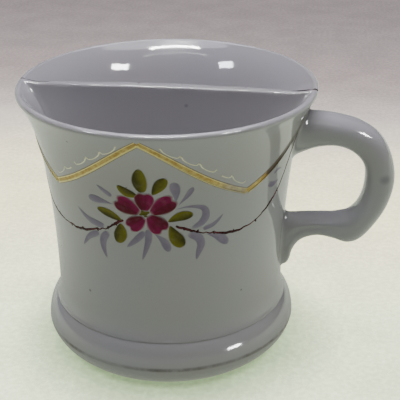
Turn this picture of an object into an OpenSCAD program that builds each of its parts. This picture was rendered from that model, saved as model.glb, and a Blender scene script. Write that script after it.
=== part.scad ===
// Shaving mug with a soap shelf behind a low divider.
// Axis of the cup is Z, the mug stands on z = 0, and the handle points along +X.
// The soap compartment is on the +Y side, the brush compartment on the -Y side.

/* [Cup] */
// Overall height, from the table to the top of the lip
height = 91; // [80:1:105]
// Outer radius at the waist, the narrowest part of the wall
waist_r = 37.5; // [34:0.5:42]
// Height of the waist
waist_z = 24.6; // [20:0.2:28]
// Growth in radius of the gentle flare up the whole wall
flare_body = 6.3; // [4:0.1:8]
// Further growth in radius close to the lip
flare_lip = 4.7; // [3:0.1:7]
// Thickness of the wall
wall = 4; // [3:0.1:5]
// Thickness of the rounded lip
lip = 2.2; // [1.8:0.1:4]

/* [Base] */
// Largest radius of the roll around the base
roll_r = 41.7; // [40:0.1:44]
// Height of the roll's widest part
roll_z = 10; // [8:0.5:12]
// Height of the crease where the roll meets the wall
crease_z = 18.4; // [16:0.2:20]
// Radius of the roll at that crease
crease_r = 38.7; // [38:0.1:39.5]
// Outer radius of the foot ring
foot_r = 33; // [30:0.5:34]
// Width of the foot ring
foot_w = 3.6; // [2.5:0.1:5]
// Height of the foot ring, which is also the recess under the floor
foot_h = 3; // [2:0.2:4]
// Thickness of the floor
floor_t = 4.6; // [3.5:0.1:6]

/* [Divider and soap shelf] */
// Thickness of the divider
divider_t = 4; // [3:0.1:5]
// Distance from the cup's axis to the middle of the divider, towards the brush side
divider_off = 3.5; // [1:0.1:5]
// Drop from the lip to the divider's top edge
divider_drop = 0.8; // [0.6:0.1:4]
// Depth of the soap shelf below the lip
shelf_depth = 29; // [20:1:40]
// Thickness of the soap shelf
shelf_t = 4; // [3:0.1:5]
// Diameter of a drain hole
drain_d = 5; // [3:0.5:6]

/* [Handle] */
// Half width of the handle's grip, across the finger gap
grip_b = 6; // [5:0.1:7.5]
// Fullness of the handle's section, 2 for an ellipse and more for a squarer one
grip_full = 2.3; // [2:0.1:3]

/* [Hidden] */
$fn = 64;

glaze = [0.80, 0.81, 0.84];
biscuit = [0.86, 0.83, 0.78];

flare_power = 8;            // how late the lip's own flare starts
wall_foot_z = foot_h + 0.6; // the wall's lower edge, on the roll's ledge
lip_z = height - 1.75;      // where the lip's round edge starts
wall_steps = 26;            // rings of points up each face of the wall
cap_steps = 12;             // points round the lip
floor_z = foot_h;
floor_r = waist_r - wall;
divider_front = -divider_off - divider_t / 2;
divider_back = -divider_off + divider_t / 2;
divider_top = height - divider_drop;
shelf_top = height - shelf_depth;
shelf_bottom = shelf_top - shelf_t;
far = 60;                   // past the cup on every side

// The wall's outer face: a cove down to the crease, then a gentle flare with a quick one near the lip.
function up(z) = max(0, (z - waist_z) / (height - waist_z));
function down(z) = max(0, (waist_z - z) / (waist_z - crease_z));
function outer_r(z) = waist_r + flare_body * pow(up(z), 2) + flare_lip * pow(up(z), flare_power)
    + (crease_r - waist_r) * pow(down(z), 2);
function lean(z) = atan((2 * flare_body * up(z) + flare_power * flare_lip * pow(up(z), flare_power - 1))
    / (height - waist_z));
function thick(z) = wall - (wall - lip) * pow(up(z), flare_power) / pow(up(lip_z), flare_power);

// A point at height z on the outer face, moved a share of the wall's thickness inwards.
function wall_point(z, share) = [
    outer_r(z) - share * thick(z) * cos(lean(z)),
    z + share * thick(z) * sin(lean(z))
];
function rise(i) = crease_z + (lip_z - crease_z) * i / wall_steps;
function lip_point(a) = wall_point(lip_z, 0.5) + lip / 2 * [cos(a - lean(lip_z)), sin(a - lean(lip_z))];

skirt = [[waist_r, wall_foot_z], [waist_r, crease_z - 0.8]];   // the outer face inside the roll
outer_face = concat(skirt, [for (i = [0 : wall_steps]) wall_point(rise(i), 0)]);
lip_face = [for (i = [1 : cap_steps - 1]) lip_point(180 * i / cap_steps)];
inner_face = [for (i = [wall_steps : -1 : 1]) if (rise(i) > waist_z) wall_point(rise(i), 1),
    [floor_r, waist_z], [floor_r, wall_foot_z]];

module cup_wall() {
    color(glaze) rotate_extrude() polygon(concat(outer_face, lip_face, inner_face));
}

// The space inside the wall, up to a plane above the lip.
module cavity() {
    top = inner_face[0];
    rotate_extrude() polygon(concat([[0, wall_foot_z]], [for (i = [len(inner_face) - 1 : -1 : 0]) inner_face[i]],
        [[top[0] + 0.6, height], [0, height]]));
}

// Everything within the wall's outer face, used to trim what is joined to it.
module cup_envelope() {
    rotate_extrude() polygon(concat([[0, wall_foot_z]], outer_face, [[0, lip_z]]));
}

// Points of a bulging curve from p to q, by a quadratic curve with its corner at c.
function curve(p, c, q, n) = [for (i = [0 : n]) let (t = i / n)
    (1 - t) * (1 - t) * p + 2 * t * (1 - t) * c + t * t * q];

module base_roll() {
    ledge = [floor_r, foot_h];
    shoulder = curve([crease_r, crease_z], [roll_r - 0.1, roll_z + 4.5], [roll_r, roll_z], 8);
    under = curve([roll_r, roll_z], [roll_r - 1, foot_h + 1.4], [foot_r, 0.4], 10);
    color(glaze) rotate_extrude() polygon(concat(
        skirt,
        shoulder,
        [for (i = [1 : len(under) - 1]) under[i]],
        [[foot_r, foot_h], ledge, [floor_r, wall_foot_z]]));
}

module cup_floor() {
    cove = 3.2;
    rise_to = floor_z + floor_t;
    color(glaze) rotate_extrude() polygon(concat(
        [[0, floor_z], [floor_r, floor_z]],
        [for (i = [0 : 8]) let (a = 90 * i / 8)
            [floor_r - cove + cove * cos(a), rise_to + cove - cove * sin(a)]],
        [[0, rise_to - 0.4]]));
}

module foot_ring() {
    inner = foot_r - foot_w;
    edge = 0.7;
    color(biscuit) rotate_extrude() polygon([
        [inner + edge, 0], [foot_r - 0.4, 0], [foot_r, 0.4], [foot_r, foot_h], [inner - 0.8, foot_h], [inner, edge]
    ]);
}

// Section of the divider across its length, with both edges of its top rounded.
module divider_section() {
    edge = 1.4;
    translate([divider_front, shelf_bottom]) square([divider_t, divider_top - edge - shelf_bottom]);
    translate([divider_front + edge, divider_top - edge - 1]) square([divider_t - 2 * edge, edge + 1]);
    for (y = [divider_front + edge, divider_back - edge]) translate([y, divider_top - edge]) circle(edge);
}

// The two ridges at the divider's ends, which sweep up to the lip.
module divider_sweeps() {
    ridge_t = divider_t - 1.6;
    reach = outer_r(lip_z) - 1.1;
    side = concat(curve([reach - 6, divider_top], [reach - 1.4, divider_top], [reach, height - 0.3], 8),
        [[far, height - 0.3], [far, divider_top - 2], [reach - 6, divider_top - 2]]);
    translate([0, ridge_t / 2 - divider_off, 0]) rotate([90, 0, 0]) linear_extrude(ridge_t)
        for (turn = [0, 1]) mirror([turn, 0, 0]) polygon(side);
}

module divider() {
    color(glaze) intersection() {
        cavity();
        union() {
            translate([-far, 0, 0]) rotate([90, 0, 90]) linear_extrude(2 * far) divider_section();
            divider_sweeps();
        }
    }
}

// Drain holes: one row near the divider and one further back, so that suds run back into the cup.
module drain_holes() {
    for (row = [[0.32, 3], [0.62, 2]]) for (i = [0 : row[1] - 1])
        translate([(i - (row[1] - 1) / 2) * 15, row[0] * floor_r, shelf_bottom - 1])
            cylinder(d = drain_d, h = shelf_t + 2);
}

module soap_shelf() {
    color(glaze) difference() {
        intersection() {
            cavity();
            translate([-far, divider_back, shelf_bottom]) cube([2 * far, far, shelf_t]);
        }
        drain_holes();
    }
}

// Stations along the handle from its upper root to its lower one:
// [outer x, outer z, inner x, inner z, half width, fullness].
stations = [
    [41, 83.6, 38, 66.5, 9.2, 2],
    [45.5, 82.8, 42.5, 69, 6.8, 2.1],
    [49.5, 82.5, 47.5, 71.2, 6.1, grip_full],
    [55, 81.7, 53, 72, grip_b, grip_full],
    [61.2, 79.9, 57.5, 71, grip_b, grip_full],
    [67.2, 76, 61, 68.5, grip_b, grip_full],
    [71.2, 69.4, 63, 65, grip_b, grip_full],
    [72.8, 61, 63.3, 60, grip_b, grip_full],
    [71.2, 52.6, 62.6, 55.5, grip_b, grip_full],
    [67.6, 45.6, 61, 51.6, grip_b, grip_full],
    [63.2, 40.2, 58.6, 49, 5.8, grip_full],
    [59, 38.7, 56, 48, 5.6, grip_full],
    [54.5, 40, 53.5, 47.3, 5.4, grip_full],
    [50, 40.8, 50, 47.1, 5.2, grip_full],
    [46.3, 40, 46.3, 47, 5.2, 2.2],
    [43.3, 38, 43.3, 47, 5.3, 2.1],
    [41.3, 34.5, 41.2, 47.1, 5.4, 2],
    [40.3, 30.5, 39.4, 47.3, 5.2, 2],
    [39, 28.5, 38, 47.6, 4.8, 2],
    [36, 27.5, 36, 48, 4.6, 2]
];
between = 3;                // rings from one station to the next
sides = 24;                 // points round a ring

// Catmull-Rom blend of four stations.
function blend(a, b, c, d, t) = 0.5 * (2 * b + (c - a) * t + (2 * a - 5 * b + 4 * c - d) * t * t
    + (3 * b - a - 3 * c + d) * t * t * t);
function station(i) = stations[min(max(i, 0), len(stations) - 1)];
function along(k) = let (i = floor(k / between), t = k / between - i)
    blend(station(i - 1), station(i), station(i + 1), station(i + 2), t);
function bulge(v, n) = sign(v) * pow(abs(v), 2 / n);
function ring(s) = let (out = [s[0], s[1]], in = [s[2], s[3]], mid = (out + in) / 2, half = (out - in) / 2)
    [for (j = [0 : sides - 1]) let (a = 360 * j / sides, p = mid + half * bulge(cos(a), s[5]))
        [p[0], s[4] * bulge(sin(a), s[5]), p[1]]];

module handle_loop() {
    last = (len(stations) - 1) * between;
    points = [for (k = [0 : last]) each ring(along(k))];
    skin = [for (k = [0 : last - 1], j = [0 : sides - 1]) let (n = (j + 1) % sides, a = k * sides)
        each [[a + j, a + n, a + sides + n], [a + j, a + sides + n, a + sides + j]]];
    polyhedron(points, concat(skin, [[for (j = [sides - 1 : -1 : 0]) j]],
        [[for (j = [0 : sides - 1]) last * sides + j]]));
}

module handle() {
    color(glaze) difference() {
        handle_loop();
        cup_envelope();
    }
}

cup_wall();
base_roll();
cup_floor();
foot_ring();
divider();
soap_shelf();
handle();
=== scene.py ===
"""Looks of the shaving mug: glazed pieces, painted sprig and gilding, floor, lights and camera.

Lengths in the shape functions are millimetres in the CAD's own frame: Z up, handle along +X.
"""

import math
import random

import bmesh
import bpy
from mathutils import Matrix, Vector, noise


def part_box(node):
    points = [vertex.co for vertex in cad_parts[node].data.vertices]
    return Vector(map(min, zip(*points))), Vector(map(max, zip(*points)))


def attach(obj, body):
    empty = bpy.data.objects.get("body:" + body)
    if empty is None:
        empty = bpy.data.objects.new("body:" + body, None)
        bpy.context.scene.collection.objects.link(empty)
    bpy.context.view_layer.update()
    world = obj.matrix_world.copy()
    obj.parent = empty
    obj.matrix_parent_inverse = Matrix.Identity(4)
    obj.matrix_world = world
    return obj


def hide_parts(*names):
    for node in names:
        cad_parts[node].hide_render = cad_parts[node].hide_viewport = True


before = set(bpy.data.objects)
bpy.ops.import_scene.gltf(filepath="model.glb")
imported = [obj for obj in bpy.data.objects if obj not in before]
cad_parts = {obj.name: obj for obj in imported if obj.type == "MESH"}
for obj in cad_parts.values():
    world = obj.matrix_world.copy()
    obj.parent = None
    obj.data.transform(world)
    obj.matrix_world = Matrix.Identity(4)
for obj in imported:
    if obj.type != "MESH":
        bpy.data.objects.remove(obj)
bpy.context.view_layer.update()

MM = 0.001
BODY = "root"


def top(node):
    """Highest corner of a CAD node, in millimetres."""
    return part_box(node)[1] / MM


def bottom(node):
    """Lowest corner of a CAD node, in millimetres."""
    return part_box(node)[0] / MM


# ---------------------------------------------------------------- shape of the cup

HEIGHT = round(top("cup_wall").z)
WAIST_R, WAIST_Z = 37.5, 24.6
FLARE_BODY, FLARE_LIP, FLARE_POWER = 6.3, 4.7, 8
WALL, LIP = 4.0, 2.2
CREASE_Z, CREASE_R = top("base_roll").z, 38.7
ROLL_R, ROLL_Z = top("base_roll").x, 10.0
FOOT_R, FOOT_W = top("foot_ring").x, 3.6
FOOT_H = top("foot_ring").z
LIP_Z = HEIGHT - 1.75
FLOOR_R = top("cup_floor").x
FLOOR_TOP = FOOT_H + 4.6
DIVIDER_Y = (top("divider").y + bottom("divider").y) / 2
DIVIDER_T = top("divider").y - bottom("divider").y
SHELF_TOP, SHELF_BOTTOM = top("soap_shelf").z, bottom("soap_shelf").z
OVAL = 1.1  # how much further the mouth opens to the front and back than to the sides
ROUND = 288  # points round the cup


def flare(z):
    return max(0.0, (z - WAIST_Z) / (HEIGHT - WAIST_Z))


def outer_r(z):
    t = flare(z)
    cove = max(0.0, (WAIST_Z - z) / (WAIST_Z - CREASE_Z))
    return WAIST_R + FLARE_BODY * t**2 + FLARE_LIP * t**FLARE_POWER + (CREASE_R - WAIST_R) * cove**2


def lean(z):
    """Angle of the outer face from the vertical, positive where the wall opens outwards."""
    return math.atan((outer_r(z + 0.05) - outer_r(z - 0.05)) / 0.1)


def thickness(z):
    return WALL - (WALL - LIP) * (flare(z) / flare(LIP_Z)) ** FLARE_POWER


def wall_point(z, share):
    """(radius, height) at height z on the outer face, moved a share of the thickness inwards."""
    a = lean(z)
    return outer_r(z) - share * thickness(z) * math.cos(a), z + share * thickness(z) * math.sin(a)


def wobble(angle, z):
    """How far the hand-finished surface strays from a true circle."""
    slow = 0.05 * math.sin(2 * angle + 0.7) + 0.03 * math.sin(3 * angle + 2.0)
    slow += OVAL * flare(z) ** 2 * math.sin(angle) ** 2
    p = Vector((math.cos(angle) * 2.2, math.sin(angle) * 2.2, z * 0.045))
    return slow + 0.035 * noise.noise(p)


def inner_r(z):
    """Radius of the inner face at height z, up to the crest of the lip."""
    if z <= WAIST_Z:
        return FLOOR_R
    crest_r, crest_z = wall_point(LIP_Z, 0.5)
    start_r, start_z = wall_point(LIP_Z, 1.0)
    if z >= start_z:
        rise = min(1.0, (z - crest_z) / (LIP / 2))
        return crest_r - LIP / 2 * math.sqrt(max(0.0, 1 - rise * rise))
    low, high = WAIST_Z, LIP_Z
    for _ in range(30):
        mid = (low + high) / 2
        if wall_point(mid, 1.0)[1] < z:
            low = mid
        else:
            high = mid
    return wall_point(low, 1.0)[0]


def on_wall(angle, z, lift=0.0):
    """Point on the outside of the wall, lifted along its normal."""
    r = outer_r(z) + wobble(angle, z)
    a = lean(z)
    r, z = r + lift * math.cos(a), z - lift * math.sin(a)
    return Vector((r * math.cos(angle), r * math.sin(angle), z))


def spline(points, per_span):
    """Catmull-Rom curve through the points."""
    out = []
    last = len(points) - 1
    for i in range(last):
        a, b, c, d = (points[min(max(k, 0), last)] for k in (i - 1, i, i + 1, i + 2))
        for s in range(per_span):
            out.append([blend(w, x, y, v, s / per_span) for w, x, y, v in zip(a, b, c, d)])
    out.append(list(points[last]))
    return out


def blend(a, b, c, d, t):
    return 0.5 * (2 * b + (c - a) * t + (2 * a - 5 * b + 4 * c - d) * t**2 + (3 * b - a - 3 * c + d) * t**3)


def quadratic(p, c, q, n):
    """Points of a quadratic curve from p to q with its corner at c."""
    pts = []
    for i in range(n + 1):
        t = i / n
        pts.append([(1 - t) ** 2 * a + 2 * t * (1 - t) * b + t * t * e for a, b, e in zip(p, c, q)])
    return pts


def smooth(t):
    t = min(1.0, max(0.0, t))
    return t * t * (3 - 2 * t)


# ---------------------------------------------------------------- making pieces


def closed_object(name, verts, faces):
    """An object in the scene from millimetre points, its faces all turned outwards."""
    mesh = bpy.data.meshes.new(name)
    mesh.from_pydata([Vector(v) * MM for v in verts], [], faces)
    bm = bmesh.new()
    bm.from_mesh(mesh)
    bmesh.ops.recalc_face_normals(bm, faces=bm.faces)
    bm.to_mesh(mesh)
    bm.free()
    obj = bpy.data.objects.new(name, mesh)
    bpy.context.scene.collection.objects.link(obj)
    return obj


def piece(name, verts, faces, material):
    """A closed, smooth-shaded piece riding on the mug."""
    obj = closed_object(name, verts, faces)
    for poly in obj.data.polygons:
        poly.use_smooth = True
    obj.data.materials.append(material)
    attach(obj, BODY)
    return obj


def stand_for(obj, node):
    """Show this piece in place of a CAD node."""
    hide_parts(node)
    return obj


def revolve(profile, shift=None, closed=True):
    """Verts and faces of a ring (closed profile) or of a disc whose profile starts and ends on the axis."""
    rings = profile if closed else profile[1:-1]
    verts, faces = [], []
    for r, z in rings:
        for k in range(ROUND):
            a = 2 * math.pi * k / ROUND
            rr = r + (shift(a, z) if shift else 0.0)
            verts.append((rr * math.cos(a), rr * math.sin(a), z))
    pairs = len(rings) if closed else len(rings) - 1
    for i in range(pairs):
        j = (i + 1) % len(rings)
        for k in range(ROUND):
            m = (k + 1) % ROUND
            faces.append((i * ROUND + k, i * ROUND + m, j * ROUND + m, j * ROUND + k))
    if not closed:
        for pole, ring in ((profile[0], 0), (profile[-1], len(rings) - 1)):
            verts.append((0, 0, pole[1]))
            centre = len(verts) - 1
            faces += [(centre, ring * ROUND + k, ring * ROUND + (k + 1) % ROUND) for k in range(ROUND)]
    return verts, faces


def skin(rows):
    """Verts and faces of a tube through closed rows of points, capped at both ends."""
    n = len(rows[0])
    verts = [p for row in rows for p in row]
    faces = []
    for i in range(len(rows) - 1):
        for j in range(n):
            k = (j + 1) % n
            faces.append((i * n + j, i * n + k, (i + 1) * n + k, (i + 1) * n + j))
    faces.append(tuple(range(n)))
    faces.append(tuple((len(rows) - 1) * n + j for j in range(n)))
    return verts, faces


# ---------------------------------------------------------------- materials


class Nodes:
    """Short calls for building one material's node tree."""

    def __init__(self, name):
        self.material = bpy.data.materials.new(name)
        self.material.use_nodes = True
        self.tree = self.material.node_tree
        self.shader = self.tree.nodes["Principled BSDF"]
        self.coords = self.add("ShaderNodeTexCoord")

    def add(self, kind, **settings):
        node = self.tree.nodes.new(kind)
        for key, value in settings.items():
            setattr(node, key, value)
        return node

    def link(self, source, target):
        self.tree.links.new(source, target)

    def noise(self, scale, detail=4.0, rough=0.55, stretch=(1, 1, 1)):
        mapping = self.add("ShaderNodeMapping")
        mapping.inputs["Scale"].default_value = stretch
        self.link(self.coords.outputs["Object"], mapping.inputs["Vector"])
        tex = self.add("ShaderNodeTexNoise")
        tex.inputs["Scale"].default_value = scale
        tex.inputs["Detail"].default_value = detail
        tex.inputs["Roughness"].default_value = rough
        self.link(mapping.outputs["Vector"], tex.inputs["Vector"])
        return tex.outputs["Fac"]

    def cells(self, scale):
        """Distance to the nearest of many scattered points."""
        tex = self.add("ShaderNodeTexVoronoi")
        tex.inputs["Scale"].default_value = scale
        self.link(self.coords.outputs["Object"], tex.inputs["Vector"])
        return tex.outputs["Distance"]

    def axes(self):
        """The X, Y and Z of the place on the object, in metres."""
        split = self.add("ShaderNodeSeparateXYZ")
        self.link(self.coords.outputs["Object"], split.inputs["Vector"])
        return split.outputs

    def reach(self):
        """Distance from the cup's axis, in metres."""
        flat = self.add("ShaderNodeVectorMath", operation="MULTIPLY")
        flat.inputs[1].default_value = (1, 1, 0)
        self.link(self.coords.outputs["Object"], flat.inputs[0])
        length = self.add("ShaderNodeVectorMath", operation="LENGTH")
        self.link(flat.outputs["Vector"], length.inputs[0])
        return length.outputs["Value"]

    def attribute(self, channel):
        """One channel of the paint attribute that the painted pieces carry."""
        attr = self.add("ShaderNodeAttribute", attribute_name="paint")
        split = self.add("ShaderNodeSeparateColor")
        self.link(attr.outputs["Color"], split.inputs["Color"])
        return split.outputs[channel]

    def range(self, value, low, high, to_low=0.0, to_high=1.0, smooth_ends=True):
        node = self.add("ShaderNodeMapRange", interpolation_type="SMOOTHSTEP" if smooth_ends else "LINEAR")
        self.link(value, node.inputs["Value"])
        for key, v in (("From Min", low), ("From Max", high), ("To Min", to_low), ("To Max", to_high)):
            node.inputs[key].default_value = v
        return node.outputs["Result"]

    def math(self, operation, a, b):
        node = self.add("ShaderNodeMath", operation=operation)
        for socket, v in zip(node.inputs, (a, b)):
            if isinstance(v, (int, float)):
                socket.default_value = v
            else:
                self.link(v, socket)
        return node.outputs["Value"]

    def mix(self, fac, a, b):
        node = self.add("ShaderNodeMix", data_type="RGBA")
        self.link(fac, node.inputs["Factor"])
        for key, v in (("A", a), ("B", b)):
            socket = [s for s in node.inputs if s.name == key and s.type == "RGBA"][0]
            if isinstance(v, tuple):
                socket.default_value = (*v, 1)
            else:
                self.link(v, socket)
        return [s for s in node.outputs if s.type == "RGBA"][0]

    def near(self, place, radius):
        """1 at a place on the mug, given in millimetres, falling to 0 at the radius."""
        node = self.add("ShaderNodeVectorMath", operation="DISTANCE")
        self.link(self.coords.outputs["Object"], node.inputs[0])
        node.inputs[1].default_value = Vector(place) * MM
        return self.range(node.outputs["Value"], radius * MM * 0.3, radius * MM, 1.0, 0.0)

    def bump(self, height, strength, distance):
        node = self.add("ShaderNodeBump")
        node.inputs["Strength"].default_value = strength
        node.inputs["Distance"].default_value = distance * MM
        self.link(height, node.inputs["Height"])
        self.link(node.outputs["Normal"], self.shader.inputs["Normal"])

    def set(self, **values):
        for key, value in values.items():
            self.shader.inputs[key.replace("_", " ")].default_value = value


GLAZE = (0.50, 0.505, 0.52)
GLAZE_WARM = (0.51, 0.505, 0.50)
SPECK = (0.10, 0.08, 0.07)


def glaze_colour(n, shade=1.0):
    """Greyish white with a slow drift of tone, and rare iron specks; a shade below 1 darkens it all as
    painted shade.
    """
    drift = n.range(n.noise(28, 3), 0.35, 0.65)
    base = n.mix(drift, tuple(c * shade for c in GLAZE), tuple(c * shade for c in GLAZE_WARM))
    speck = n.range(n.cells(170), 0.035, 0.075, 1.0, 0.0)
    rare = n.range(n.noise(60, 1), 0.60, 0.66, 0.0, 0.6)
    return n.mix(n.math("MULTIPLY", speck, rare), base, SPECK)


def glaze_surface(n):
    """Wet-looking gloss with the faint unevenness of a fired glaze."""
    n.link(n.range(n.noise(35, 4), 0.35, 0.7, 0.045, 0.10), n.shader.inputs["Roughness"])
    n.bump(n.noise(150, 3), 0.05, 0.6)
    n.set(IOR=1.55, Specular_IOR_Level=0.5)


def worn_gilding(n, colour):
    """Dark remains of a gilt line over the divider's two ends and onto the lip."""
    axes = n.axes()
    high = n.range(axes["Z"], (HEIGHT - 2.6) * MM, (HEIGHT - 2.1) * MM)
    wear = n.range(n.noise(260, 4, 0.7), 0.36, 0.56, 0.35, 1.0)
    for side, middle, inner in ((-1, 0.75, 36.0), (1, 0.2, 38.5)):
        off = n.math("ABSOLUTE", n.math("SUBTRACT", axes["Y"], (DIVIDER_Y + middle) * MM), 0)
        line = n.range(off, 0.45 * MM, 0.90 * MM, 1.0, 0.0)
        end = n.range(n.math("MULTIPLY", axes["X"], side), inner * MM, (inner + 3) * MM)
        left = n.math("MULTIPLY", n.math("MULTIPLY", line, end), n.math("MULTIPLY", high, wear))
        colour = n.mix(left, colour, (0.030, 0.013, 0.012))
    return colour


def glaze_material(name, marks=(), shade=1.0, gilded=False):
    """Glazed porcelain; marks are (place, radius, strength, colour) of single blemishes; a shade below 1
    darkens the whole glaze as painted shade.
    """
    n = Nodes(name)
    colour = glaze_colour(n, shade)
    if gilded:
        colour = worn_gilding(n, colour)
    for place, radius, strength, tint in marks:
        spot = n.math("MULTIPLY", n.near(place, radius), strength)
        colour = n.mix(spot, colour, tint)
    n.link(colour, n.shader.inputs["Base Color"])
    glaze_surface(n)
    return n.material


def roll_material():
    """The same glaze, with a worn brown line of old gilding round the roll's widest part."""
    n = Nodes("glazed_roll")
    off = n.math("ABSOLUTE", n.math("SUBTRACT", n.axes()["Z"], (ROLL_Z + 0.2) * MM), 0)
    line = n.range(off, 0.2 * MM, 1.0 * MM, 1.0, 0.0)
    worn = n.range(n.noise(55, 5, 0.7), 0.40, 0.68, 0.25, 1.0)
    left = n.math("MULTIPLY", n.math("MULTIPLY", line, worn), 0.7)
    n.link(n.mix(left, glaze_colour(n), (0.09, 0.06, 0.05)), n.shader.inputs["Base Color"])
    glaze_surface(n)
    return n.material


def bisque_material():
    """Bare fired clay of the foot, with grit and grey wear from standing on things."""
    n = Nodes("bare_biscuit")
    grime = n.range(n.noise(90, 6, 0.7), 0.45, 0.7)
    n.link(n.mix(grime, (0.60, 0.55, 0.47), (0.30, 0.27, 0.24)), n.shader.inputs["Base Color"])
    n.link(n.range(n.noise(300, 4), 0.3, 0.7, 0.7, 0.95), n.shader.inputs["Roughness"])
    n.bump(n.noise(700, 6, 0.7), 0.5, 0.25)
    return n.material


def enamel_material(name, deep, pale, rough, streak=(1, 1, 1)):
    """Overglaze paint: green channel is its tone, red channel how much of it covers the glaze."""
    n = Nodes(name)
    hair = n.range(n.noise(420, 3, 0.6, streak), 0.3, 0.7, -0.14, 0.14)
    tone = n.math("ADD", n.attribute("Green"), hair)
    paint = n.mix(n.range(tone, 0.0, 1.0), deep, pale)
    cover = n.math("MULTIPLY", n.attribute("Red"), n.range(n.noise(500, 2), 0.2, 0.5, 0.93, 1.0))
    n.link(n.mix(cover, glaze_colour(n), paint), n.shader.inputs["Base Color"])
    n.link(n.range(n.noise(300, 3), 0.3, 0.7, rough * 0.7, rough * 1.3), n.shader.inputs["Roughness"])
    n.bump(n.noise(900, 4), 0.15, 0.15)
    n.set(IOR=1.5, Specular_IOR_Level=0.2)
    return n.material


def gilt_material(name, bright, dull, rub):
    """Gilding: green channel runs from bright burnished gold to dull, and wear shows glaze through."""
    n = Nodes(name)
    tone = n.math("ADD", n.attribute("Green"), n.range(n.noise(700, 4), 0.3, 0.7, -0.2, 0.2))
    gold = n.mix(n.range(tone, 0.0, 1.0), bright, dull)
    gold = n.mix(n.range(tone, 1.3, 2.0), gold, (0.14, 0.095, 0.065))
    grain = n.range(n.noise(1100, 3, 0.7), rub - 0.12, rub + 0.12, 1.0, 0.0)
    painted = n.attribute("Red")
    left = n.math("MINIMUM", painted, n.math("ADD", n.math("SUBTRACT", 1.0, grain), painted))
    cover = n.math("MULTIPLY", left, n.math("SUBTRACT", 1.0, n.math("MULTIPLY", grain, 0.55)))
    n.link(n.mix(cover, glaze_colour(n), gold), n.shader.inputs["Base Color"])
    n.link(n.math("MULTIPLY", cover, 0.55), n.shader.inputs["Metallic"])
    n.link(n.range(tone, 0.0, 1.0, 0.28, 0.55), n.shader.inputs["Roughness"])
    n.bump(n.noise(1200, 4), 0.3, 0.12)
    return n.material


# ---------------------------------------------------------------- glazed pieces


def arc(centre, radius, start, end, n):
    """Points of an arc, angles in degrees."""
    return [
        (centre[0] + radius * math.cos(math.radians(start + (end - start) * i / n)),
         centre[1] + radius * math.sin(math.radians(start + (end - start) * i / n)))
        for i in range(n + 1)
    ]


def make_wall(material):
    """Wall with its rolled lip; its lower edge is hidden inside the base roll."""
    steps = 70
    rise = [CREASE_Z + 0.5 + (LIP_Z - CREASE_Z - 0.5) * i / steps for i in range(steps + 1)]
    bead = [(CREASE_R - 0.5, CREASE_Z - 0.6), (CREASE_R + 0.02, CREASE_Z - 0.15)]
    bead.append((CREASE_R + 0.12, CREASE_Z + 0.15))
    tilt = math.degrees(lean(LIP_Z))
    lip = arc(wall_point(LIP_Z, 0.5), LIP / 2, -tilt, 180 - tilt, 18)[1:-1]
    inside = [wall_point(z, 1.0) for z in reversed(rise) if z > WAIST_Z]
    profile = [(WAIST_R - 0.6, FOOT_H + 1)] + bead + [wall_point(z, 0) for z in rise] + lip + inside
    profile += [(FLOOR_R, z) for z in (WAIST_Z, 20, 14, 9, FOOT_H + 1)]
    verts, faces = revolve(profile, wobble)
    return stand_for(piece("wall", verts, faces, material), "cup_wall")


def make_roll(material):
    """Rounded moulding round the base, turned under to the foot."""
    widest = (ROLL_R, ROLL_Z)
    shoulder = quadratic((CREASE_R - 0.3, CREASE_Z - 0.15), (ROLL_R - 0.2, ROLL_Z + 5.6), widest, 16)
    under = quadratic(widest, (ROLL_R - 1, FOOT_H + 1.4), (FOOT_R + 0.6, 0.55), 18)[1:]
    tuck = [(FOOT_R - 0.2, 0.75), (FOOT_R - 0.6, FOOT_H)]
    tuck += [(FLOOR_R - 0.3, FOOT_H), (FLOOR_R - 0.3, FOOT_H + 1.2)]
    inside = [(WAIST_R - 0.4, FOOT_H + 1.6), (WAIST_R - 0.4, CREASE_Z - 1.2)]
    profile = [tuple(p) for p in shoulder + under] + tuck + inside
    verts, faces = revolve(profile, wobble)
    return stand_for(piece("base_roll_moulding", verts, faces, material), "base_roll")


def make_floor(material):
    """Floor with a coved edge and faint rings left by the potter's fingers."""
    cove = 3.2
    rings = 26
    reach = FLOOR_R - cove

    def top_z(r):
        return FLOOR_TOP - 0.35 * (1 - r / reach) + 0.07 * math.sin(r * 1.7)

    above = [(reach * i / rings, top_z(reach * i / rings)) for i in range(rings)]
    bend = arc((reach, FLOOR_TOP + cove), cove + 0.15, 270, 358, 12)
    below = [(FLOOR_R + 0.2, FOOT_H + 0.4), (FLOOR_R - 1, FOOT_H - 0.05)]
    below += [(FLOOR_R * (1 - i / 12), FOOT_H + 0.5 * smooth(i / 6)) for i in range(1, 13)]
    verts, faces = revolve(above + bend + below, closed=False)
    return stand_for(piece("floor_disc", verts, faces, material), "cup_floor")


def make_foot(material):
    """Foot ring wiped free of glaze, with a worn edge."""

    def chips(angle, z):
        p = Vector((math.cos(angle) * 9, math.sin(angle) * 9, z * 2))
        return 0.12 * noise.noise(p) if z < 1 else 0.0

    inner = FOOT_R - FOOT_W
    profile = [(inner + 0.7, 0.0), (inner + 1.6, 0.0), (FOOT_R - 1.3, 0.0)]
    profile += [(FOOT_R - 0.5, 0.05), (FOOT_R - 0.12, 0.3)]
    profile += [(FOOT_R, 0.8), (FOOT_R, FOOT_H), (inner - 0.8, FOOT_H), (inner - 0.35, FOOT_H * 0.6)]
    profile += [(inner + 0.05, 0.75), (inner + 0.3, 0.25)]
    verts, faces = revolve(profile, chips)
    return stand_for(piece("foot_ring_bare", verts, faces, material), "foot_ring")


def divider_height(x):
    """Top of the divider: nearly level, a little higher in the middle, swept up to the lip at both ends."""
    reach = wall_point(LIP_Z, 0.5)[0]
    level = HEIGHT - 0.95 + 0.70 * math.cos(math.pi * x / (2 * reach)) + 0.05 * math.sin(x * 0.31)
    to_end = reach - abs(x)
    return level + (HEIGHT - 0.12 - level) * (1 - smooth(to_end / 6.5)) ** 1.5


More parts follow.
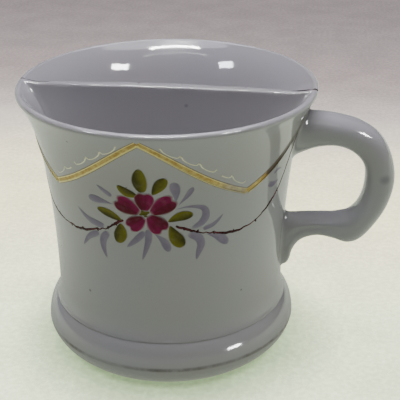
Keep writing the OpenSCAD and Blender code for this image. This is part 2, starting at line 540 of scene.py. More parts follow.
def divider_middle(x):
    """The slab bows back a little between its ends."""
    return DIVIDER_Y + 0.6 * math.cos(math.pi * x / 92)


def make_divider(material):
    """Upright slab with a soft top edge, spreading where it meets the wall."""
    stations, face_rows, edge_steps = 120, 30, 10
    rows = []
    for i in range(stations + 1):
        u = math.sin(math.pi / 2 * (2 * i / stations - 1))
        height = divider_height(u * wall_point(LIP_Z, 0.5)[0])

        def place(z, side, pull):
            """A point of the face, pulled towards the middle of the slab by a share."""
            half_chord = math.sqrt(inner_r(min(z, HEIGHT - 0.05)) ** 2 - DIVIDER_Y**2) + 0.25
            x = u * half_chord
            gap = half_chord - abs(x)
            spread = 2.6 - math.sqrt(max(0.0, 2.6**2 - (2.6 - min(gap, 2.6)) ** 2))
            thin = 0.75 * u * u * smooth((z - SHELF_TOP - 14) / 12)
            half = DIVIDER_T / 2 - 0.1 - thin + spread * 0.8 * smooth((height - z) / 3)
            return (x, divider_middle(x) + side * half * (1 - pull), z)

        edge = 1.5
        front = [SHELF_BOTTOM + (height - edge - SHELF_BOTTOM) * k / face_rows for k in range(face_rows + 1)]
        row = [place(z, -1, 0) for z in front]
        for k in range(1, 2 * edge_steps):
            a = math.pi * k / (2 * edge_steps)
            pull = 1 - abs(math.cos(a)) ** 0.75
            row.append(place(height - edge + edge * math.sin(a) ** 0.75, -1 if a < math.pi / 2 else 1, pull))
        row += [place(z, 1, 0) for z in reversed(front)]
        rows.append(row)
    verts, faces = skin(rows)
    return stand_for(piece("divider_slab", verts, faces, material), "divider")


def make_shelf(material):
    """Soap shelf: a dished half disc with drain holes whose edges the glaze has rounded."""
    back = top("soap_shelf").y
    front = bottom("soap_shelf").y - 0.3
    columns, lines = 64, 40

    def half_width(y):
        return math.sqrt(max(0.0, (inner_r(SHELF_TOP) + 0.7) ** 2 - y**2))

    def level(x, y):
        gap = half_width(y) - abs(x)
        dish = 0.9 * smooth(gap / 9) * smooth((back - y) / 9) * smooth((y - front) / 5)
        lift = 1.1 * (1 - smooth(gap / 2.2)) + 0.8 * (1 - smooth((y - front) / 2.4))
        return SHELF_TOP - dish + lift

    verts, faces = [], []
    for under in (False, True):
        for i in range(lines + 1):
            y = front + (back + 0.15 - front) * math.sin(math.pi / 2 * i / lines)
            for j in range(columns + 1):
                x = half_width(y) * math.sin(math.pi / 2 * (2 * j / columns - 1))
                verts.append((x, y, SHELF_BOTTOM if under else level(x, y)))
    n, size = columns + 1, (columns + 1) * (lines + 1)
    for i in range(lines):
        for j in range(columns):
            a = i * n + j
            faces.append((a, a + 1, a + n + 1, a + n))
            faces.append((size + a, size + a + n, size + a + n + 1, size + a + 1))
    rim = [j for j in range(n)] + [i * n + columns for i in range(1, lines + 1)]
    rim += [lines * n + j for j in range(columns - 1, -1, -1)] + [i * n for i in range(lines - 1, 0, -1)]
    for a, b in zip(rim, rim[1:] + rim[:1]):
        faces.append((a, size + a, size + b, b))
    shelf = piece("soap_shelf_dished", verts, faces, material)
    for row_share, count in ((0.32, 3), (0.62, 2)):
        for i in range(count):
            drill(shelf, ((i - (count - 1) / 2) * 15, row_share * FLOOR_R))
    return stand_for(shelf, "soap_shelf")


def drill(obj, centre):
    """Cut a drain hole that opens out smoothly at both of its ends."""
    sides, hole_r, flare_r = 40, 2.5, 1.3
    depth = SHELF_TOP - SHELF_BOTTOM
    rows = []
    for k in range(17):
        z = SHELF_BOTTOM - 0.6 + (depth + 1.6) * k / 16
        end = min(abs(z - SHELF_BOTTOM), abs(z - SHELF_TOP + 0.8))
        outside = z < SHELF_BOTTOM or z > SHELF_TOP - 0.8
        open_by = flare_r if outside else flare_r * (1 - smooth(end / 1.2)) ** 2
        r = hole_r + open_by
        rows.append([(centre[0] + r * math.cos(2 * math.pi * j / sides),
                      centre[1] + r * math.sin(2 * math.pi * j / sides), z) for j in range(sides)])
    cutter = closed_object("cutter", *skin(rows))
    cut = obj.modifiers.new("hole", "BOOLEAN")
    cut.operation, cut.solver, cut.object = "DIFFERENCE", "EXACT", cutter
    bpy.context.view_layer.objects.active = obj
    bpy.ops.object.modifier_apply(modifier=cut.name)
    bpy.data.objects.remove(cutter)


# Handle: [outer x, outer z, inner x, inner z, half width, fullness], as in the CAD.
GRIP = (6.0, 2.3)
HANDLE = [
    (41, 83.6, 38, 66.5, 9.2, 2),
    (45.5, 82.8, 42.5, 69, 6.8, 2.1),
    (49.5, 82.5, 47.5, 71.2, 6.1, 2.3),
    (55, 81.7, 53, 72, *GRIP),
    (61.2, 79.9, 57.5, 71, *GRIP),
    (67.2, 76, 61, 68.5, *GRIP),
    (71.2, 69.4, 63, 65, *GRIP),
    (72.8, 61, 63.3, 60, *GRIP),
    (71.2, 52.6, 62.6, 55.5, *GRIP),
    (67.6, 45.6, 61, 51.6, *GRIP),
    (63.2, 40.2, 58.6, 49, 5.8, 2.5),
    (59, 38.7, 56, 48, 5.6, 2.8),
    (54.5, 40, 53.5, 47.3, 5.4, 3.0),
    (50, 40.8, 50, 47.1, 5.2, 3.0),
    (46.3, 40, 46.3, 47, 5.2, 2.8),
    (43.3, 38, 43.3, 47, 5.3, 2.5),
    (41.3, 34.5, 41.2, 47.1, 5.4, 2.2),
    (40.3, 30.5, 39.4, 47.3, 5.2, 2),
    (39, 28.5, 38, 47.6, 4.8, 2),
    (36, 27.5, 36, 48, 4.6, 2),
]
SIDES = 64
PER_SPAN = 8


def handle_ring(s, place):
    """One section of the handle; place counts stations along it, and shapes the fold of the lower strut."""
    ox, oz, ix, iz, half, full = s
    mid, axis = ((ox + ix) / 2, (oz + iz) / 2), ((ox - ix) / 2, (oz - iz) / 2)
    fold = smooth((place - 10.5) / 2) * (1 - smooth((place - 16.5) / 1.5))
    ring = []
    for j in range(SIDES):
        a = 2 * math.pi * j / SIDES
        c, d = math.cos(a), math.sin(a)
        along = math.copysign(abs(c) ** (2 / full), c)
        across = math.copysign(abs(d) ** (2 / full), d)
        groove = 0.45 * fold * math.exp(-(((along + 0.15) / 0.22) ** 2)) * abs(across) ** 3
        ring.append(Vector((mid[0] + axis[0] * along, (half - groove) * across, mid[1] + axis[1] * along)))
    return ring


def outside(p):
    """How far a point is outside the wall, sideways."""
    return math.hypot(p.x, p.y) - outer_r(min(p.z, LIP_Z))


def make_handle(material):
    """Looped handle whose two roots spread into the wall."""
    rings = [handle_ring(s, k / PER_SPAN) for k, s in enumerate(spline(HANDLE, PER_SPAN))]
    lines = [[ring[j] for ring in rings] for j in range(SIDES)]
    start = root_curves(lines, fillet=1.7)
    finish = root_curves([list(reversed(line)) for line in lines], fillet=1.3)
    count = len(rings)
    rows = []
    for step in range(len(start[0]["curve"])):
        rows.append([side["curve"][step] for side in start])
    body_rows = 150
    for i in range(1, body_rows):
        row = []
        for j in range(SIDES):
            low, high = start[j]["leave"], count - 1 - finish[j]["leave"]
            row.append(sample(lines[j], low + (high - low) * i / body_rows))
        rows.append(row)
    for step in range(len(finish[0]["curve"]) - 1, -1, -1):
        rows.append([side["curve"][step] for side in finish])
    verts, faces = skin(rows)
    return stand_for(piece("handle_loop", verts, faces, material), "handle")


def sample(line, at):
    i = min(int(at), len(line) - 2)
    return line[i].lerp(line[i + 1], at - i)


def root_curves(lines, fillet):
    """For each side of the handle, a curve from inside the wall out onto that side, with a soft corner."""
    hits, places = [], []
    for line in lines:
        k = next(i for i, p in enumerate(line) if outside(p) > 0)
        a, b = outside(line[k - 1]), outside(line[k])
        places.append(k - 1 + a / (a - b))
        hits.append(sample(line, places[-1]))
    flat = [(math.atan2(p.y, p.x) * WAIST_R, p.z) for p in hits]
    curves = []
    for j, line in enumerate(lines):
        (x0, z0), (x1, z1) = flat[j - 1], flat[(j + 1) % len(flat)]
        tangent = Vector((x1 - x0, z1 - z0)).normalized()
        out = Vector((tangent.y, -tangent.x))
        middle = Vector((sum(x for x, _ in flat), sum(z for _, z in flat))) / len(flat)
        if out.dot(Vector(flat[j]) - middle) < 0:
            out.negate()
        spread = Vector(flat[j]) + fillet * out
        edge = on_wall(spread.x / WAIST_R, min(spread.y, LIP_Z), -0.12)
        leave = places[j]
        while leave < places[j] + 12 and (sample(line, leave) - hits[j]).length < fillet:
            leave += 0.05
        off = sample(line, leave)
        inside = edge - 1.2 * Vector((edge.x, edge.y, 0)).normalized()
        steps = [Vector(p) for p in quadratic(edge, hits[j], off, 9)]
        curves.append({"leave": leave, "curve": [inside] + steps})
    return curves


# ---------------------------------------------------------------- painted decoration

SPRIG_ANGLE = math.radians(-91.5)
SPRIG_Z = 63.4
PAINT_R = 39.0  # the radius at which lengths along the paint are measured


def paint_point(s, z, lift):
    """A point s mm to the right of the flower's centre and z mm above it."""
    return on_wall(SPRIG_ANGLE + s / PAINT_R, SPRIG_Z + z, lift)


class Paint:
    """Collects thin closed strokes into one piece, with a paint attribute on every point."""

    def __init__(self, lift):
        self.lift = lift
        self.verts, self.faces, self.attrs = [], [], []

    def patch(self, grid):
        """grid holds rows of (s, z, cover, tone, rise); it becomes a thin closed plate on the wall."""
        n, m = len(grid), len(grid[0])
        base = len(self.verts)
        for under in (False, True):
            for i, row in enumerate(grid):
                for j, (s, z, cover, tone, rise) in enumerate(row):
                    rim = i in (0, n - 1) or j in (0, m - 1)
                    lift = -0.08 if under else self.lift * (0.25 if rim else 1.0) * rise
                    self.verts.append(paint_point(s, z, lift))
                    self.attrs.append((cover, tone, 0.0, 1.0))
        size = n * m
        for i in range(n - 1):
            for j in range(m - 1):
                a = base + i * m + j
                self.faces.append((a, a + 1, a + m + 1, a + m))
                self.faces.append((size + a, size + a + m, size + a + m + 1, size + a + 1))
        rim = [j for j in range(m)] + [i * m + m - 1 for i in range(1, n)]
        rim += [(n - 1) * m + j for j in range(m - 2, -1, -1)] + [i * m for i in range(n - 2, 0, -1)]
        for a, b in zip(rim, rim[1:] + rim[:1]):
            self.faces.append((base + a, base + size + a, base + size + b, base + b))

    def stroke(self, path, width, cover, tone, across=6, per_span=8, rise=lambda w: 1.0):
        """A brush stroke: width depends on t along it, rise on w across it, cover and tone on both."""
        line = spline(path, per_span)
        count = len(line) - 1
        grid = []
        for i, (x, z) in enumerate(line):
            ahead, behind = line[min(i + 1, count)], line[max(i - 1, 0)]
            tangent = Vector((ahead[0] - behind[0], ahead[1] - behind[1])).normalized()
            side = Vector((-tangent.y, tangent.x))
            t = i / count
            row = []
            for j in range(across + 1):
                w = 2 * j / across - 1
                off = side * (w * width(t) / 2)
                row.append((x + off.x, z + off.y, cover(t, w), tone(t, w), rise(w)))
            grid.append(row)
        self.patch(grid)

    def finish(self, name, material, slot):
        obj = piece(name, self.verts, self.faces, material)
        attribute = obj.data.attributes.new("paint", "FLOAT_COLOR", "POINT")
        for item, value in zip(attribute.data, self.attrs):
            item.color = value
        return obj


def petal(paint, base, tip, width, notch, dark_side):
    """Heart-shaped petal from its narrow base to two rounded lobes; one side is painted darker."""
    start, end = Vector(base), Vector(tip)
    along = end - start
    side = Vector((-along.y, along.x)).normalized()
    rows, columns = 20, 20
    grid = []
    for i in range(rows + 1):
        t = i / rows
        row = []
        for j in range(columns + 1):
            w = 2 * j / columns - 1
            lobes = 0.56 + 0.46 * math.sqrt(max(0.0, 1 - w * w)) - notch * math.exp(-((w / 0.30) ** 2))
            spread = 0.2 + 0.8 * math.sin(math.pi / 2 * min(1.0, t * 1.12)) ** 0.85
            p = start + along * t * lobes + side * (w * width / 2 * spread)
            rim = min((1 - abs(w)) * 8, (1 - t) * 10, t * 7 + 0.3)
            streak = 0.10 * math.sin(9 * w + 3 * base[0]) + 0.07 * math.sin(19 * w + base[1])
            tone = 0.34 + 0.42 * w * dark_side + 0.35 * t**4 + streak + 0.3 * (1 - t) ** 6
            row.append((p.x, p.y, smooth(rim), tone, 1.0))
        grid.append(row)
    paint.patch(grid)


def leaf_width(full, blunt):
    """Width along a leaf: quickly wide, then drawn in to a blunt or pointed end."""
    return lambda t: full * max(0.06, math.sin(math.pi * t**blunt) ** 0.75)


def edge_cover(strength, soft):
    """Paint that thins to nothing at its sides and ends."""
    return lambda t, w: strength * smooth(min((1 - abs(w)) * soft, t * 9 + 0.15, (1 - t) * 9 + 0.15))


def leaf(paint, base, tip, width, blunt, bend, shade):
    middle = (Vector(base) + Vector(tip)) / 2
    along = Vector(tip) - Vector(base)
    middle += Vector((-along.y, along.x)) * bend
    paint.stroke(
        [base, tuple(middle), tip], leaf_width(width, blunt), edge_cover(1.0, 7.0),
        lambda t, w: 0.55 + 0.55 * w * shade,
        across=12, per_span=12)


def shadow(paint, path, width, fat_end):
    """Soft grey-lilac stroke, widest near one end."""
    power = math.log(0.5) / math.log(0.68 if fat_end else 0.32)
    paint.stroke(
        path, lambda t: 1.25 * width * max(0.05, math.sin(math.pi * t**power)) ** 0.7,
        edge_cover(0.9, 4.5), lambda t, w: 0.5 + 0.3 * w, across=10, per_span=8)


def twig(paint, path, width, thorns):
    """Thin wavy stem with small thorns given as (place along the path, side)."""
    rng = random.Random(len(path))
    line = []
    for x, z in spline(path, 5):
        line.append((x + rng.uniform(-0.12, 0.12), z + rng.uniform(-0.2, 0.2)))
    paint.stroke(line, lambda t: width * (0.8 + 0.35 * math.sin(23 * t)), lambda t, w: 1.0,
                 lambda t, w: 0.35 + 0.3 * math.sin(31 * t), across=4, per_span=3)
    for place, side in thorns:
        x, z = line[int(place * (len(line) - 1))]
        paint.stroke([(x - 0.15, z - 0.35 * side), (x, z + 0.1 * side), (x + 0.3, z + 0.75 * side)],
                     lambda t: 0.85 - 0.45 * t, lambda t, w: 1.0, lambda t, w: 0.1, across=4, per_span=4)


def make_sprig():
    """Flower, leaves, shadow leaves and thorny stems on the brush side.

    Most points of the shadow leaves and leaves, and some of the stems, were measured by a separate
    program and not designed.
    """
    petal_paint = enamel_material("crimson_enamel", (0.14, 0.0, 0.018), (0.32, 0.0, 0.095), 0.2)
    leaf_paint = enamel_material("olive_enamel", (0.060, 0.055, 0.0), (0.21, 0.20, 0.008), 0.2)
    shadow_paint = enamel_material("lilac_enamel", (0.24, 0.195, 0.30), (0.35, 0.31, 0.41), 0.12)
    twig_paint = enamel_material("red_brown_enamel", (0.045, 0.004, 0.008), (0.16, 0.02, 0.03), 0.25)

    shadows = Paint(0.03)
    for path, width, fat_end in (
        ([(9, 4), (9, 7.5), (8.3, 11)], 2.5, True),
        ([(9.7, 3), (12.2, 6.2), (13.8, 9)], 1.4, True),
        ([(8.9, 1.7), (13, 2.4), (16.8, 1.5), (17.8, -1), (16.6, -3.5), (13.5, -5.3)], 2.2, True),
        ([(17, -5.9), (20.4, -4.6), (23.2, -1.8)], 1.3, False),
        ([(12.6, -7.1), (15.6, -8.6), (16.6, -11), (15.8, -14), (15.2, -16.4)], 2.4, False),
        ([(18.3, -7.8), (22, -9.4), (25.6, -12.6)], 2.4, True),
        ([(2.6, -6.6), (5.4, -9.4), (7, -13)], 2.2, True),
        ([(0.9, -5.4), (0.7, -9.6), (-1.3, -16.2)], 1.9, False),
        ([(-0.1, -6.2), (-3.0, -9.4), (-6, -12.2)], 1.8, False),
        ([(-11.8, -8.1), (-13.8, -10.7), (-14.1, -14), (-13.2, -17.4)], 2.2, False),
        ([(-15.2, -9), (-19.2, -11.4), (-22.3, -15.3)], 1.7, False),
        ([(-13, -6.3), (-16.1, -5.8), (-19.1, -4.8), (-22.5, -2.2)], 1.9, False),
        ([(-9.2, 2.2), (-13.5, 2.7), (-17.4, 2.9)], 2.2, True),
        ([(-9.3, 4.9), (-11.3, 6.3), (-13.7, 8)], 1.3, False),
        ([(39.8, 3.4), (42.5, 2.4), (45.5, 2.9)], 1.6, False),
        ([(42, 6.2), (44, 7.0), (46.2, 6.6)], 0.9, False),
    ):
        shadow(shadows, path, width, fat_end)
    shadows.finish("shadow_leaves", shadow_paint, "enamel_shadow")

    leaves = Paint(0.05)
    for base, tip, width, blunt, bend, shade in (
        ((-0.1, 7.2), (-0.5, 15.6), 4.4, 0.9, 0.05, -1),
        ((-1.6, 6.0), (-7.2, 9.1), 3.0, 1.0, 0.10, 1),
        ((2.5, 6.6), (6.4, 12.5), 3.7, 1.3, 0.0, -1),
        ((-6.9, -3.1), (-14.8, -0.2), 3.0, 1.1, -0.04, -1),
        ((6.6, -2.6), (14.1, -0.3), 3.5, 1.35, 0.08, 1),
        ((-7.3, -4.0), (-8.9, -11.2), 4.5, 1.2, 0.06, 1),
        ((7.2, -3.8), (11.2, -11.5), 4.6, 1.45, -0.05, -1),
    ):
        leaf(leaves, base, tip, width, blunt, bend, shade)
    leaves.finish("leaves", leaf_paint, "enamel_leaf")

    petals = Paint(0.06)
    for base, tip, width, notch, dark_side in (
        ((0.1, 0.9), (0.3, 7.6), 5.9, 0.10, -1),
        ((-1.3, 0.2), (-8.8, 4.3), 6.0, 0.13, -1),
        ((1.9, 0.2), (9.1, 5.6), 6.0, 0.13, 1),
        ((0.0, -1.3), (-5.4, -5.6), 5.4, 0.13, 1),
        ((1.2, -0.5), (5.8, -6.4), 6.4, 0.14, -1),
    ):
        petal(petals, base, tip, width, notch, dark_side)
    petals.finish("petals", petal_paint, "enamel_petal")

    centre = Paint(0.1)
    for x, z, size in ((0, 0.1, 2.2), (-0.9, -0.3, 1.1), (1.0, 0.5, 1.2), (0.4, -0.8, 1.0), (-0.5, 0.9, 0.9)):
        centre.stroke([(x - size / 2, z), (x, z + 0.1), (x + size / 2, z)],
                      lambda t: size * 0.85 * max(0.1, math.sin(math.pi * t)) ** 0.6,
                      edge_cover(1.0, 3.0), lambda t, w: 0.5 + 0.3 * w, across=8, per_span=6)
    centre.finish("flower_centre", leaf_paint, "enamel_leaf")

    stems = Paint(0.08)
    twig(stems, [(-6.6, -2.8), (-9, -4.5), (-11.8, -6.6), (-17, -8.3), (-23, -9.9), (-28.5, -9.8),
                 (-33.5, -9.3), (-39.5, -7.6), (-46, -3), (-51, 4), (-54.5, 13), (-56.5, 21)], 0.78,
         ((0.1, -1), (0.19, 1), (0.26, -1), (0.35, 1), (0.44, -1), (0.57, 1), (0.7, -1), (0.83, 1)))
    twig(stems, [(9, -4.1), (13, -5.8), (16.2, -6.9), (21.4, -7.9), (27, -8.9), (33.6, -8.2), (39, -6),
                 (43.5, -3), (47.5, 1), (50.5, 6), (53, 12), (54.2, 17.5)], 0.78,
         ((0.06, -1), (0.17, 1), (0.26, -1), (0.37, 1), (0.5, -1), (0.6, 1), (0.7, -1), (0.82, 1)))
    stems.finish("thorny_stems", twig_paint, "enamel_vine")


LEG = 30.6  # along the paint, from a peak of the zigzag band to the next valley


def band_height(s):
    """Height of the zigzag band's middle above the flower's centre, s mm from its front peak."""
    t = abs((s + LEG) % (2 * LEG) - LEG) / LEG
    return 4.1 + 20.6 * (1 - t) - 2.4 * math.sin(math.pi * t) * (0.55 + 0.45 * t)


RUBBED_OFF = ((1, -1), (-1, 1))  # the arcs each side of the front pair, gone with wear


def make_gilding():
    """Zigzag gold band all round, with small hanging arcs above it, worn away in places."""
    gold = gilt_material("burnished_gold", (1.0, 0.88, 0.36), (0.52, 0.34, 0.09), 0.28)
    band = Paint(0.05)
    turn = 2 * math.pi * PAINT_R
    legs = 8
    for leg_index in range(legs):
        first = -turn / 2 + turn * leg_index / legs
        scale = (turn / legs) / LEG
        low = first / scale + 0.02
        points = []
        for i in range(25):
            s = low + (LEG - 0.04) * i / 24
            points.append((s * scale, band_height(s)))
        band.stroke(points, lambda t: 2.2, band_cover(points), band_tone(points), 24, 2, band_rise)
    band.finish("gilt_band", gold, "gilt")

    arcs = Paint(0.05)
    thin = gilt_material("thin_gold", (1.0, 0.98, 0.72), (0.95, 0.85, 0.5), 0.36)
    for peak in range(-2, 2):
        middle = peak * turn / 4
        for way in (-1, 1):
            if (peak, way) in RUBBED_OFF:
                continue
            cusps = [(middle + way * (5.2 + 4.9 * i), 23.3 - 3.05 * i) for i in range(6)]
            hang_arcs(arcs, cusps, way, peak)
    arcs.finish("gilt_arcs", thin, "gilt")


def band_cover(points):
    """Gilding rubbed thin towards the handle side, where a hand holds the mug."""
    def cover(t, w):
        s = points[0][0] + (points[-1][0] - points[0][0]) * t
        rubbed = 0.45 * smooth((s - 20) / 5) * (1 - smooth((s - 29) / 2))
        rubbed = max(rubbed, 0.5 * smooth((-33 - s) / 4), 0.5 * smooth((s - 42) / 6))
        return max(0.0, 1.0 - rubbed) * (1 - 0.45 * smooth((abs(w) - 0.8) / 0.06))
    return cover


def band_tone(points):
    """Bright lines along the edges, matt gold between, brown at the rims and where a hand wears it."""
    def tone(t, w):
        s = points[0][0] + (points[-1][0] - points[0][0]) * t
        bright = smooth((-0.30 - w) / 0.12) + 0.8 * smooth((w - 0.50) / 0.1)
        rim = smooth((abs(w) - 0.8) / 0.06)
        dull = smooth((s - 20) / 4)
        return 0.75 - 1.1 * bright * (1 - rim) * (1 - 0.7 * dull) + 1.6 * max(rim, smooth((s - 35) / 5))
    return tone


def band_rise(w):
    """Relief across the band: a raised line along its lower edge and a finer one along the upper edge."""
    return 1.0 + 4.5 * max(0.0, 1 - ((w + 0.6) / 0.2) ** 2) + 1.8 * max(0.0, 1 - ((w - 0.7) / 0.14) ** 2)


def hang_arcs(paint, cusps, way, seed):
    """Small arcs that hang from cusp to cusp above the band; some have worn away."""
    rng = random.Random(seed * 2 + way)
    for i, (a, b) in enumerate(zip(cusps, cusps[1:])):
        start, end = rng.choice(((0.0, 1.0), (0.0, 1.0), (0.35, 1.0), (0.0, 0.7), (0.0, 1.0)))
        path = []
        for k in range(9):
            t = start + (end - start) * k / 8
            sag = 1.5 * math.sqrt(max(0.0, 1 - (2 * t - 1) ** 2))
            path.append((a[0] + (b[0] - a[0]) * t, a[1] + (b[1] - a[1]) * t - sag))
        paint.stroke(path, lambda t: 0.34 + 0.10 * abs(2 * t - 1) ** 3, lambda t, w: 0.95 - 0.3 * (i == 4),
                     lambda t, w: 0.2, across=4, per_span=2)


# ---------------------------------------------------------------- floor, light and camera


GLOW = 2.4
# Glow of the paper by distance behind the mug: a painted fall-off of light.
PAPER_GLOW = (
    (0.0, (2.0, 1.86, 1.08)),
    (0.16, (1.70, 1.52, 0.98)),
    (0.26, (1.25, 1.10, 0.90)),
    (0.36, (0.85, 0.72, 0.67)),
    (0.48, (0.60, 0.49, 0.47)),
    (0.7, (0.45, 0.37, 0.36)),
    (1.0, (0.33, 0.27, 0.265)),
)


def set_ramp(ramp, stops, scale=1.0):
    """Fill a colour ramp from (position, colour) stops."""
    items = ramp.color_ramp.elements
    while len(items) < len(stops):
        items.new(0.5)
    for item, (position, colour) in zip(items, stops):
        item.position = position
        item.color = [c * scale for c in colour] + [1]


def flat_plane(name, z, material):
    mesh = bpy.data.meshes.new(name)
    bm = bmesh.new()
    bmesh.ops.create_grid(bm, x_segments=8, y_segments=8, size=3.0)
    bm.to_mesh(mesh)
    bm.free()
    obj = bpy.data.objects.new(name, mesh)
    obj.location.z = z
    bpy.context.scene.collection.objects.link(obj)
    mesh.materials.append(material)
    return obj


def make_table_top():
    """What the camera sees of the table: pale paper painted as glow, with a painted fall-off of light behind
    the mug, painted shade round the base, a painted contact shadow and a painted cast shadow beside the
    handle.
    """
    n = Nodes("table_paper")
    back, reach = n.axes()["Y"], n.reach()
    # The glow falls off with distance behind the mug: painted fall-off of light.
    ramp = n.add("ShaderNodeValToRGB")
    n.link(n.range(back, 0.10, 0.45, smooth_ends=False), ramp.inputs["Fac"])
    set_ramp(ramp, PAPER_GLOW, 1 / GLOW)
    front = n.mix(n.range(back, -0.02, 0.10), (0.80, 0.90, 0.56), ramp.outputs["Color"])
    # Painted shade round the base, a darker painted contact shadow, and a painted cast shadow beside the
    # handle.
    under = n.range(reach, 0.036, 0.064, 1.0, 0.0)
    contact_shadow = n.range(reach, 0.0345, 0.038, 1.0, 0.0)
    cast_shadow = n.math("MULTIPLY", n.near((74, -12, 0), 52), 0.4)
    front = n.mix(cast_shadow, front, (0.55, 0.66, 0.40))
    grain = n.range(n.noise(500, 3, 0.7), 0.35, 0.7, 0.84, 1.10)
    mottle = n.range(n.noise(45, 3), 0.35, 0.65, 0.93, 1.05)
    shaded = n.mix(contact_shadow, n.mix(under, front, (0.27, 0.37, 0.20)), (0.13, 0.19, 0.09))
    n.link(shaded, n.shader.inputs["Emission Color"])
    n.link(n.math("MULTIPLY", n.math("MULTIPLY", grain, mottle), GLOW), n.shader.inputs["Emission Strength"])
    # The paper's lit colour also darkens further back: painted fall-off of light.
    far = n.range(back, 0.1, 0.3)
    n.link(n.mix(far, (0.4, 0.41, 0.33), (0.08, 0.08, 0.08)), n.shader.inputs["Base Color"])
    n.set(Roughness=0.8, Specular_IOR_Level=0.2)
    seen = flat_plane("table_top", 0.0, n.material)
    seen.visible_diffuse = seen.visible_glossy = False


def make_table_underlay():
    """What lights the mug from below and reflects in it; the camera doesn't see it."""
    n = Nodes("table_bounce")
    by_depth = n.range(n.axes()["Y"], -0.13, 0.02, 0.45, 1.12)
    by_reach = n.range(n.reach(), 0.045, 0.11, 0.35, 1.0)
    n.link(n.math("MULTIPLY", by_depth, by_reach), n.shader.inputs["Emission Strength"])
    n.set(Base_Color=(0.62, 0.67, 0.57, 1), Emission_Color=(0.80, 0.88, 0.68, 1), Roughness=0.9)
    flat_plane("table_underlay", -0.4 * MM, n.material).visible_camera = False


def area_light(name, bearing, height_angle, size, power, tint, seen_by=None, shape="RECTANGLE"):
    """A flat light that faces the mug; bearing is measured from +Y towards +X.

    A light given a list of pieces only shows as a reflection, and only in them.
    """
    a, e = math.radians(bearing), math.radians(height_angle)
    direction = Vector((math.sin(a) * math.cos(e), math.cos(a) * math.cos(e), math.sin(e)))
    data = bpy.data.lights.new(name, "AREA")
    data.shape, data.size, data.size_y = shape, size[0], size[1]
    data.energy, data.color = power, tint
    obj = bpy.data.objects.new(name, data)
    obj.location = direction * 1.3 + Vector((0, 0, 0.06))
    obj.rotation_euler = direction.to_track_quat("Z", "Y").to_euler()
    bpy.context.scene.collection.objects.link(obj)
    if seen_by:
        obj.visible_diffuse = False
        receivers = bpy.data.collections.new(name + "_receivers")
        for item in seen_by:
            receivers.objects.link(item)
        obj.light_linking.receiver_collection = receivers
    return obj


SKY = (
    (0.0, (0.30, 0.32, 0.27)),
    (0.46, (0.20, 0.215, 0.185)),
    (0.54, (0.07, 0.07, 0.075)),
    (0.75, (0.075, 0.07, 0.085)),
    (1.0, (0.30, 0.28, 0.33)),
)


def make_lights(wall, inside, handle, roll):
    """A broad soft light overhead, and panels and strips that show only as reflections in chosen pieces."""
    cup = [wall] + inside
    area_light("overhead", 0, 84, (1.2, 1.0), 21.0, (1.0, 0.96, 1.05)).visible_glossy = False
    area_light("window_right", 120, 35, (0.33, 0.15), 18.0, (1.0, 1.0, 1.0), cup)
    area_light("window_left", -126.5, 36, (0.27, 0.165), 9.0, (0.90, 0.94, 1.0), cup)
    area_light("window_low", 116, 1.5, (0.28, 0.16), 16.0, (1.0, 1.0, 1.0), [roll])
    area_light("strip", 180, 65, (0.72, 0.07), 34.0, (1.0, 0.99, 0.97), cup)
    area_light("strip_dim", 180, 55, (1.1, 0.02), 1.0, (1.0, 0.99, 0.97), cup)
    area_light("ceiling", 0, 86, (1.8, 1.7), 36.0, (1.0, 0.97, 1.05), [wall], "ELLIPSE")
    area_light("ceiling_core", 0, 84, (1.1, 1.3), 22.0, (1.0, 0.97, 1.05), [wall], "ELLIPSE")
    area_light("window_grip", 120, 42, (0.42, 0.2), 24.0, (1.0, 1.0, 1.0), [handle])
    area_light("strip_grip", 180, 58, (0.7, 0.04), 0.8, (1.0, 0.99, 0.97), [handle])
    world = bpy.data.worlds.new("studio")
    bpy.context.scene.world = world
    world.use_nodes = True
    tree = world.node_tree
    coords = tree.nodes.new("ShaderNodeTexCoord")
    split = tree.nodes.new("ShaderNodeSeparateXYZ")
    height = tree.nodes.new("ShaderNodeMapRange")
    height.inputs["From Min"].default_value = -1.0
    ramp = tree.nodes.new("ShaderNodeValToRGB")
    set_ramp(ramp, SKY)
    tree.links.new(coords.outputs["Generated"], split.inputs["Vector"])
    tree.links.new(split.outputs["Z"], height.inputs["Value"])
    tree.links.new(height.outputs["Result"], ramp.inputs["Fac"])
    tree.links.new(ramp.outputs["Color"], tree.nodes["Background"].inputs["Color"])


# The camera's place in millimetres, its direction, and its roll in degrees, fitted to the photograph.
CAMERA_AT = (48.06, -297.5, 189.74)
CAMERA_LOOK = (-0.1144, 0.8992, -0.4224)
CAMERA_ROLL = -0.22


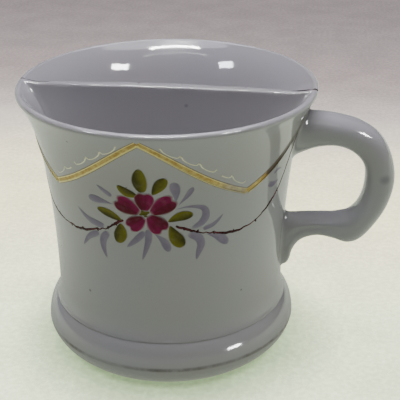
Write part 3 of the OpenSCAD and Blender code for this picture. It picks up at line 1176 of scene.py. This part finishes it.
def make_camera():
    """Camera at the angle and distance of the reference view."""
    data = bpy.data.cameras.new("camera")
    data.sensor_width, data.lens = 36.0, 90.0
    data.clip_start, data.clip_end = 0.01, 20.0
    obj = bpy.data.objects.new("camera", data)
    forward = Vector(CAMERA_LOOK).normalized()
    level = forward.cross(Vector((0, 0, 1))).normalized()
    up = level.cross(forward)
    roll = math.radians(CAMERA_ROLL)
    right = math.cos(roll) * level + math.sin(roll) * up
    up = -math.sin(roll) * level + math.cos(roll) * up
    obj.matrix_world = Matrix((right, up, -forward)).transposed().to_4x4()
    obj.location = Vector(CAMERA_AT) * MM
    bpy.context.scene.collection.objects.link(obj)
    bpy.context.scene.camera = obj


# ---------------------------------------------------------------- the scene

make_camera()
make_table_top()
make_table_underlay()

SMUDGE = (0.12, 0.125, 0.16)
CHIP = (0.16, 0.11, 0.09)
STAIN = (0.14, 0.11, 0.10)
FLECK = (0.08, 0.08, 0.09)
WALL_MARKS = (
    ((-20.7, -31.5, 31.6), 0.7, 0.6, STAIN),
    ((2.5, -38.9, 19.6), 0.6, 0.6, STAIN),
    ((9.5, -37.9, 19.2), 0.6, 0.6, STAIN),
    ((24, -36, 76), 0.5, 0.5, STAIN),
)
INSIDE_MARKS = (
    ((6.6, -5.6, 84.5), 1.2, 0.8, FLECK),
    ((-8.6, -2.6, 90.7), 0.8, 0.8, CHIP),
    ((5.0, -2.4, 90.7), 0.6, 0.7, CHIP),
    ((25.0, -2.6, 90.5), 0.6, 0.8, CHIP),
)
HANDLE_MARKS = (((69.2, -4.5, 62.7), 2.6, 0.6, SMUDGE),)
PAINTED_SHADE = 0.84  # painted shade: the glaze inside and on the handle is darkened to this share of the wall's brightness, though the real glaze is the same all over

glaze = glaze_material("glaze_wall", WALL_MARKS, gilded=True)
# The inside and handle glazes are darkened as painted shade.
inner_glaze = glaze_material("glaze_inside", INSIDE_MARKS, PAINTED_SHADE, gilded=True)
handle_glaze = glaze_material("glaze_handle", HANDLE_MARKS, PAINTED_SHADE)
wall = make_wall(glaze)
roll = make_roll(roll_material())
inside = [make_floor(inner_glaze), make_divider(inner_glaze), make_shelf(inner_glaze)]
make_foot(bisque_material())
handle = make_handle(handle_glaze)
make_sprig()
make_gilding()
make_lights(wall, inside, handle, roll)
